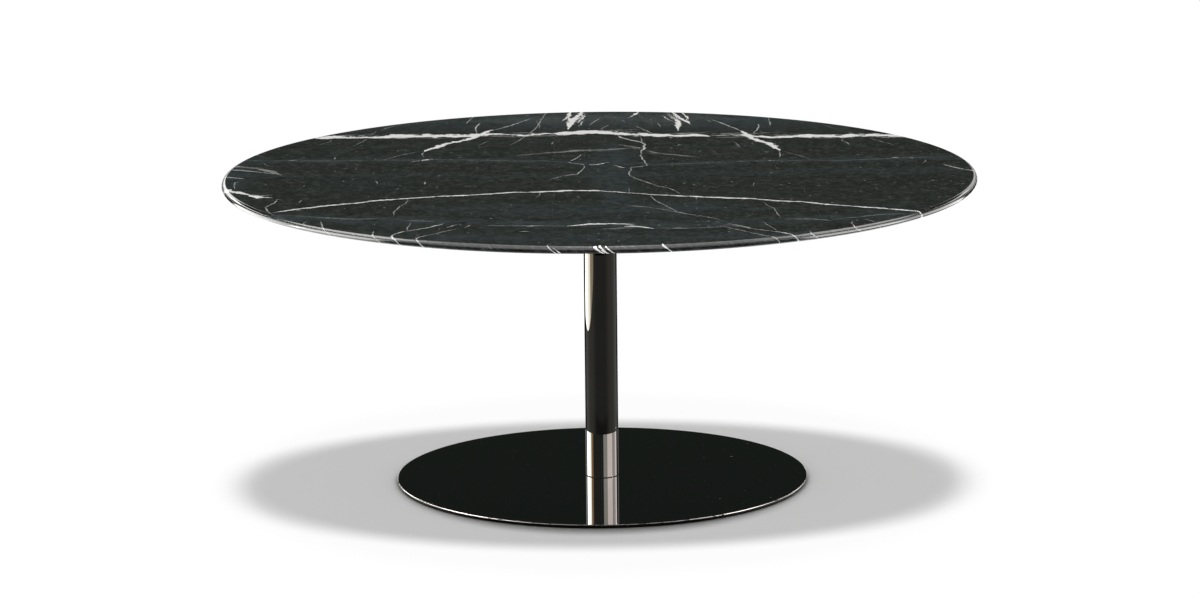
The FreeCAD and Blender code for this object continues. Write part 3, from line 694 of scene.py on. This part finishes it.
def powder_coat():
    """Matt black powder coating with its orange-peel skin."""
    material, nodes = new_finish("powder_coat_black")
    place = nodes.place()
    peel = nodes.noise(place, 900.0, 2.0)
    tone = nodes.noise(place, 40.0, 3.0)
    nodes.finish({
        "Base Color": nodes.mix(tone, COAT_DARK, COAT_LIGHT),
        "Roughness": 0.42 + 0.2 * peel,
        "Normal": nodes.bump(peel, 0.25, 0.0003),
    })
    return material


def plated_metal(name, dark, light):
    """A turned and plated metal: fine tool rings and a mottled coat."""
    material, nodes = new_finish(name)
    place = nodes.place()
    mottle = nodes.noise(place, 220.0, 3.0, 0.6)
    rings = nodes.noise(nodes.stretch(place, (0.15, 0.15, 1.0)), 2600.0, 2.0)
    nodes.finish({
        "Base Color": nodes.mix(mottle, dark, light),
        "Metallic": 1.0,
        "Roughness": 0.26 + 0.14 * mottle + 0.08 * rings,
        "Normal": nodes.bump(rings, 0.12, 0.0001),
    })
    return material


def black_rubber():
    """Matt moulded rubber, a little grey where it has been handled."""
    material, nodes = new_finish("black_rubber_moulded")
    place = nodes.place()
    grain = nodes.noise(place, 1500.0, 3.0)
    bloom = nodes.noise(place, 120.0, 3.0).rise(0.45, 0.75)
    nodes.finish({
        "Base Color": nodes.mix(bloom, RUBBER_BLACK, RUBBER_BLOOM),
        "Roughness": 0.62 + 0.2 * grain,
        "Normal": nodes.bump(grain, 0.3, 0.0002),
    })
    return material


def dark_felt():
    """Pressed wool felt: short fibres lying every way."""
    material, nodes = new_finish("dark_felt_pressed")
    place = nodes.place()
    lying = nodes.noise(nodes.stretch(nodes.shaken(place, 500.0, 0.002), (1.0, 0.25, 1.0)), 2400.0, 3.0)
    crossing = nodes.noise(nodes.stretch(nodes.shaken(place, 430.0, 0.002), (0.25, 1.0, 1.0)), 2400.0, 3.0)
    fibres = lying.largest(crossing)
    nodes.finish({
        "Base Color": nodes.mix(fibres.rise(0.35, 0.75), FELT_DARK, FELT_LIGHT),
        "Roughness": 0.95,
        "Normal": nodes.bump(fibres, 0.6, 0.0005),
    })
    return material


def dress_nodes():
    """Gives each CAD node the finish of its slot."""
    finishes = {
        "black_marble": black_marble(),
        "black_nickel": black_nickel(),
        "powder_coat": powder_coat(),
        "zinc_steel": plated_metal("zinc_plated_steel", ZINC_DARK, ZINC_LIGHT),
        "brass": plated_metal("turned_brass", BRASS_DARK, BRASS_LIGHT),
        "black_rubber": black_rubber(),
        "felt": dark_felt(),
    }
    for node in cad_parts.values():
        for place in node.material_slots:
            place.material = finishes[place.material.name]


# Studio
FLOOR_HALF = 80.0
FLOOR_WHITE = colour(0.93, 0.93, 0.93)
SHADOW_GLOW = 0.485
OPEN_GLOW = 0.97
SHADOW_WIDTH = 0.495
SHADOW_DEPTH = 0.353
SHADOW_SHIFT = 0.02
# The contact numbers shape a painted contact shadow: a darker ellipse on the floor in front of the base,
# and shade where the occlusion node finds the crevice under it
CONTACT_REACH = 0.06
CONTACT_WIDTH = 0.284
CONTACT_DEPTH = 0.297
CONTACT_SHIFT = 0.022
CONTACT_LEAST = 0.2
CONTACT_SAMPLES = 16
SHADOW_EDGE = (0.9, 1.1)
CONTACT_EDGE = (0.86, 1.0)
SUN_STRENGTH = 3.2
SUN_DISC = math.radians(10)
PAPER_WHITE = colour(1.0, 1.0, 1.0)
STUDIO_DARK = colour(0.0300, 0.0375, 0.0320)
DOME_GREY = colour(0.2, 0.2, 0.2)
SKY_STOPS = [
    (0.0, PAPER_WHITE),
    (0.021, PAPER_WHITE),
    (0.031, STUDIO_DARK),
    (0.47, STUDIO_DARK),
    (0.70, DOME_GREY),
    (1.0, DOME_GREY),
]

# A panel is a sheet of light, or a dark flag, that only polished faces see. It is an edge from one
# (radius, height) to another, spun about the column in one straight step or in many. Its azimuths are in
# degrees from the viewer's side, plus to the right, and a share of its half span fades out at the ends.
Panel = namedtuple("Panel", "name azimuths fade steps inner outer tint strength")

LOW, MIDDLE, HIGH, HIGHEST = 0.0005, 0.0010, 0.0015, 0.0020
CEILING = 2.4
STREAK = ((1.085, HIGH), (2.4, HIGH))
STREAK_SIDE = ((1.575, MIDDLE), (3.4, MIDDLE))
SIDE_GLOW = ((0.28, LOW), (1.6, LOW))
FLOOR_FLAG = ((0.28, HIGHEST), (8.0, HIGHEST))
FOOT_STRIP = ((12.0, 2.76), (12.0, 3.17))
STRIP_FLAG = ((3.0, 0.90), (3.0, 1.13))
STRIP_SHADE = ((2.9, 0.825), (2.9, 1.42))
NOSE_FLAG = ((0.52, 0.21), (0.80, 0.38))
NOSE_LOW = ((0.52, 0.245), (0.60, 0.28))
NOSE_HIGH = ((0.60, 0.28), (0.95, 0.412))
LOW_FILL = ((12.0, 1.2), (12.0, 2.7))
HIGH_FILL = ((12.0, 3.95), (12.0, 5.6))
RIM_FRONT = ((0.1, CEILING), (4.9, CEILING))
RIM_BACK = ((0.1, CEILING), (1.2, CEILING))
RIM_SIDE = ((1.3, CEILING - HIGH), (4.4, CEILING - HIGH))
TIP_STRIP = ((4.0, 0.75), (4.0, 1.70))
TIP_NEAR = ((3.9, 1.09), (3.9, 1.66))
WARM_WHITE = colour(1.0, 0.95, 0.90)
BROWN_WHITE = colour(1.0, 0.80, 0.62)
DEEP_BROWN = colour(1.0, 0.62, 0.32)
COOL_WHITE = colour(1.0, 0.99, 0.97)
PINK_WHITE = colour(1.0, 0.89, 0.915)
BLUE_WHITE = colour(0.5, 0.8, 1.0)
PANELS = [
    Panel("streak_panel", (-130, -75), 0.1, 1, *STREAK, WARM_WHITE, 48),
    Panel("streak_side_panel", (-150, -46), 0.2, 1, *STREAK_SIDE, BROWN_WHITE, 15),
    Panel("side_glow_left", (-132, -30), 0.7, 12, *SIDE_GLOW, COOL_WHITE, 1.9),
    Panel("side_glow_right", (26, 134), 0.7, 12, *SIDE_GLOW, COOL_WHITE, 1.9),
    Panel("floor_flag_left", (-178, -126), 0.15, 8, *FLOOR_FLAG, COOL_WHITE, 0.05),
    Panel("floor_flag_right", (130, 178), 0.15, 8, *FLOOR_FLAG, COOL_WHITE, 0.05),
    Panel("foot_strip_back", (-128, -112), 0.1, 4, *FOOT_STRIP, COOL_WHITE, 120),
    Panel("foot_strip_left", (-114, -81), 0.1, 8, *FOOT_STRIP, COOL_WHITE, 205),
    Panel("foot_strip_brown", (-81, -62), 0.6, 4, *FOOT_STRIP, DEEP_BROWN, 46),
    Panel("foot_strip_dim", (-64, -10), 0.1, 12, *FOOT_STRIP, COOL_WHITE, 3.6),
    Panel("foot_strip_blue", (-9, -4), 0.6, 2, *FOOT_STRIP, BLUE_WHITE, 12),
    Panel("foot_strip_middle", (-3, 9), 0.1, 4, *FOOT_STRIP, COOL_WHITE, 3.3),
    Panel("foot_strip_near", (9, 36), 0.1, 6, *FOOT_STRIP, COOL_WHITE, 50),
    Panel("foot_strip_right", (36, 77), 0.05, 8, *FOOT_STRIP, PINK_WHITE, 130),
    Panel("foot_strip_far", (77, 101), 0.05, 6, *FOOT_STRIP, PINK_WHITE, 52),
    Panel("foot_strip_edge", (101, 120), 0.1, 4, *FOOT_STRIP, PINK_WHITE, 62),
    Panel("strip_flag", (-134, 126), 0.02, 40, *STRIP_FLAG, COOL_WHITE, 0.03),
    Panel("nose_flag_front", (-48, 44), 0.1, 24, *NOSE_FLAG, COOL_WHITE, 0.03),
    Panel("nose_flag_left", (-178, -103), 0.05, 24, *NOSE_FLAG, COOL_WHITE, 0.03),
    Panel("nose_flag_right", (110, 178), 0.05, 24, *NOSE_FLAG, COOL_WHITE, 0.03),
    Panel("nose_glow_left", (-72, -42), 0.4, 12, *NOSE_HIGH, COOL_WHITE, 11),
    Panel("nose_glow_left_tip", (-108, -66), 0.3, 16, *NOSE_HIGH, COOL_WHITE, 5),
    Panel("nose_low_left", (-108, -42), 0.3, 24, *NOSE_LOW, COOL_WHITE, 3.2),
    Panel("nose_glow_right", (38, 74), 0.4, 12, *NOSE_HIGH, COOL_WHITE, 9),
    Panel("nose_glow_right_tip", (68, 106), 0.3, 16, *NOSE_HIGH, COOL_WHITE, 3.6),
    Panel("nose_low_right", (38, 106), 0.3, 24, *NOSE_LOW, COOL_WHITE, 0.4),
    Panel("strip_shade", (20, 72), 0.05, 16, *STRIP_SHADE, COOL_WHITE, 0.03),
    Panel("low_fill", (-105, 115), 0.1, 40, *LOW_FILL, COOL_WHITE, 2.8),
    Panel("high_fill", (-105, 115), 0.1, 40, *HIGH_FILL, COOL_WHITE, 2.8),
    Panel("rim_panel_front", (-78, 78), 0.02, 24, *RIM_FRONT, COOL_WHITE, 2.8),
    Panel("rim_panel_over", (78, 180), 0.02, 14, *RIM_BACK, COOL_WHITE, 2.8),
    Panel("rim_panel_back", (-180, -78), 0.02, 14, *RIM_BACK, COOL_WHITE, 2.8),
    Panel("rim_panel_left", (-124, -56), 0.5, 12, *RIM_SIDE, COOL_WHITE, 9),
    Panel("rim_panel_right", (56, 124), 0.5, 12, *RIM_SIDE, COOL_WHITE, 6),
    Panel("tip_strip_left", (-168, -138), 0.3, 6, *TIP_STRIP, COOL_WHITE, 2.6),
    Panel("tip_strip_right", (138, 168), 0.3, 6, *TIP_STRIP, COOL_WHITE, 1.2),
    Panel("tip_strip_left_near", (-152, -112), 0.4, 8, *TIP_NEAR, COOL_WHITE, 7),
    Panel("tip_strip_right_near", (112, 152), 0.4, 8, *TIP_NEAR, COOL_WHITE, 3),
]


def stage_object(name, shape, shader_for):
    """A named stage object from a bmesh, with the shader that a function of its nodes gives."""
    mesh = bpy.data.meshes.new(name)
    shape.to_mesh(mesh)
    shape.free()
    stage = bpy.data.objects.new(name, mesh)
    scene.collection.objects.link(stage)
    material, nodes = new_finish(name)
    nodes.make("ShaderNodeOutputMaterial", None, {"Surface": shader_for(nodes)})
    mesh.materials.append(material)
    return stage


def ellipse(nodes, width, depth, shift):
    """0 in the middle of an ellipse on the floor, 1 on its outline and more outside of it."""
    x, y, _ = nodes.split(nodes.place())
    across = x / width
    deep = (y + shift) / depth
    return (across * across + deep * deep).root()


def floor_shader(nodes):
    """Pale paint under the lamp, partly seen as plain white. The white is strongest outside of a soft
    ellipse under the table, so that the shadow stays light and ends where the photograph's does, and
    weakest in a smaller ellipse in front of the base and in the crevice under it."""
    # The weakest white, in front of the base and in the crevice, paints a dark contact shadow on the floor.
    outside = ellipse(nodes, SHADOW_WIDTH, SHADOW_DEPTH, SHADOW_SHIFT).rise(*SHADOW_EDGE)
    glow = SHADOW_GLOW + (OPEN_GLOW - SHADOW_GLOW) * outside
    # A painted contact shadow: less white in a small ellipse in front of the base and, through the
    # occlusion node, in the crevice under it
    clear = ellipse(nodes, CONTACT_WIDTH, CONTACT_DEPTH, CONTACT_SHIFT).rise(*CONTACT_EDGE)
    samples = {"samples": CONTACT_SAMPLES}
    openness = nodes.make("ShaderNodeAmbientOcclusion", samples, {"Distance": CONTACT_REACH}, "AO")
    painted_contact_shadow = openness * openness * (CONTACT_LEAST + (1 - CONTACT_LEAST) * clear)
    camera, glossy, through = [
        nodes.make("ShaderNodeLightPath", None, None, ray)
        for ray in ("Is Camera Ray", "Is Glossy Ray", "Is Transmission Ray")
    ]
    seen = camera.largest(glossy).largest(through)
    diffuse = nodes.make("ShaderNodeBsdfDiffuse", None, {"Color": FLOOR_WHITE})
    white = nodes.make("ShaderNodeEmission", None, {"Strength": 1.0})
    return nodes.make("ShaderNodeMixShader", None, {0: seen * glow * painted_contact_shadow, 1: diffuse, 2: white})


def pale_floor():
    """A plain pale floor, out to the horizon."""
    shape = bmesh.new()
    bmesh.ops.create_grid(shape, x_segments=1, y_segments=1, size=FLOOR_HALF)
    stage_object("pale_floor", shape, floor_shader)


def panel_shader(nodes, panel):
    """A plain glow that fades out towards both ends of the panel's azimuths."""
    x, y, _ = nodes.split(nodes.place())
    azimuth = x.math("ARCTAN2", x, y * -1.0)
    first, last = [math.radians(end) for end in panel.azimuths]
    middle, half = 0.5 * (first + last), 0.5 * (last - first)
    lit = 1 - abs(azimuth - middle).rise(half * (1 - panel.fade), half)
    clear = nodes.make("ShaderNodeBsdfTransparent")
    glow = nodes.make("ShaderNodeEmission", None, {"Color": panel.tint, "Strength": panel.strength})
    return nodes.make("ShaderNodeMixShader", None, {0: lit, 1: clear, 2: glow})


def light_panels():
    """The strips, panels and flags that the column, the disc and the stone's nose mirror."""
    for panel in PANELS:
        start, end = [math.radians(azimuth - 90) for azimuth in panel.azimuths]
        shape = bmesh.new()
        turn = Matrix.Rotation(start, 3, "Z")
        corners = [Vector((radius, 0, height)) for radius, height in (panel.inner, panel.outer)]
        ends = [shape.verts.new(turn @ corner) for corner in corners]
        edge = shape.edges.new(ends)
        swept = {"axis": (0, 0, 1), "cent": (0, 0, 0), "angle": end - start, "steps": panel.steps}
        bmesh.ops.spin(shape, geom=ends + [edge], **swept)
        sheet = stage_object(panel.name, shape, lambda nodes: panel_shader(nodes, panel))
        sheet.visible_camera = False
        sheet.visible_diffuse = False
        sheet.visible_transmission = False
        sheet.visible_shadow = False


def studio_light():
    """A soft lamp straight above, and a dome: white at the horizon, dark where polished faces look."""
    lamp = bpy.data.lights.new("overhead", "SUN")
    lamp.energy = SUN_STRENGTH
    lamp.angle = SUN_DISC
    holder = bpy.data.objects.new("overhead", lamp)
    scene.collection.objects.link(holder)

    world = bpy.data.worlds.new("studio")
    world.use_nodes = True
    scene.world = world
    nodes = Nodes(world.node_tree)
    direction = nodes.make("ShaderNodeTexCoord", output="Generated")
    _, _, height = nodes.split(direction)
    sky = nodes.make("ShaderNodeValToRGB", {"stops": SKY_STOPS}, {0: height})
    glow = nodes.make("ShaderNodeBackground", None, {"Color": sky})
    nodes.make("ShaderNodeOutputWorld", None, {"Surface": glow})


# Camera
CAMERA_PLACE = Vector((-0.00075, -6.43808, 1.58226))
CAMERA_TILT = math.radians(78.29765)
CAMERA_ROLL = math.radians(-0.57334)
CAMERA_LENS = 147.915
CAMERA_SENSOR = 36.0


def set_camera():
    """The camera of the photograph, found from the outlines of the top, the column and the base."""
    data = bpy.data.cameras.new("photo_camera")
    data.lens = CAMERA_LENS
    data.sensor_width = CAMERA_SENSOR
    data.sensor_fit = "HORIZONTAL"
    camera = bpy.data.objects.new("photo_camera", data)
    turn = Matrix.Rotation(CAMERA_TILT, 4, "X") @ Matrix.Rotation(CAMERA_ROLL, 4, "Z")
    camera.matrix_world = Matrix.Translation(CAMERA_PLACE) @ turn
    scene.collection.objects.link(camera)
    scene.camera = camera


scene.view_settings.view_transform = "Standard"
dress_nodes()
pale_floor()
light_panels()
studio_light()
set_camera()
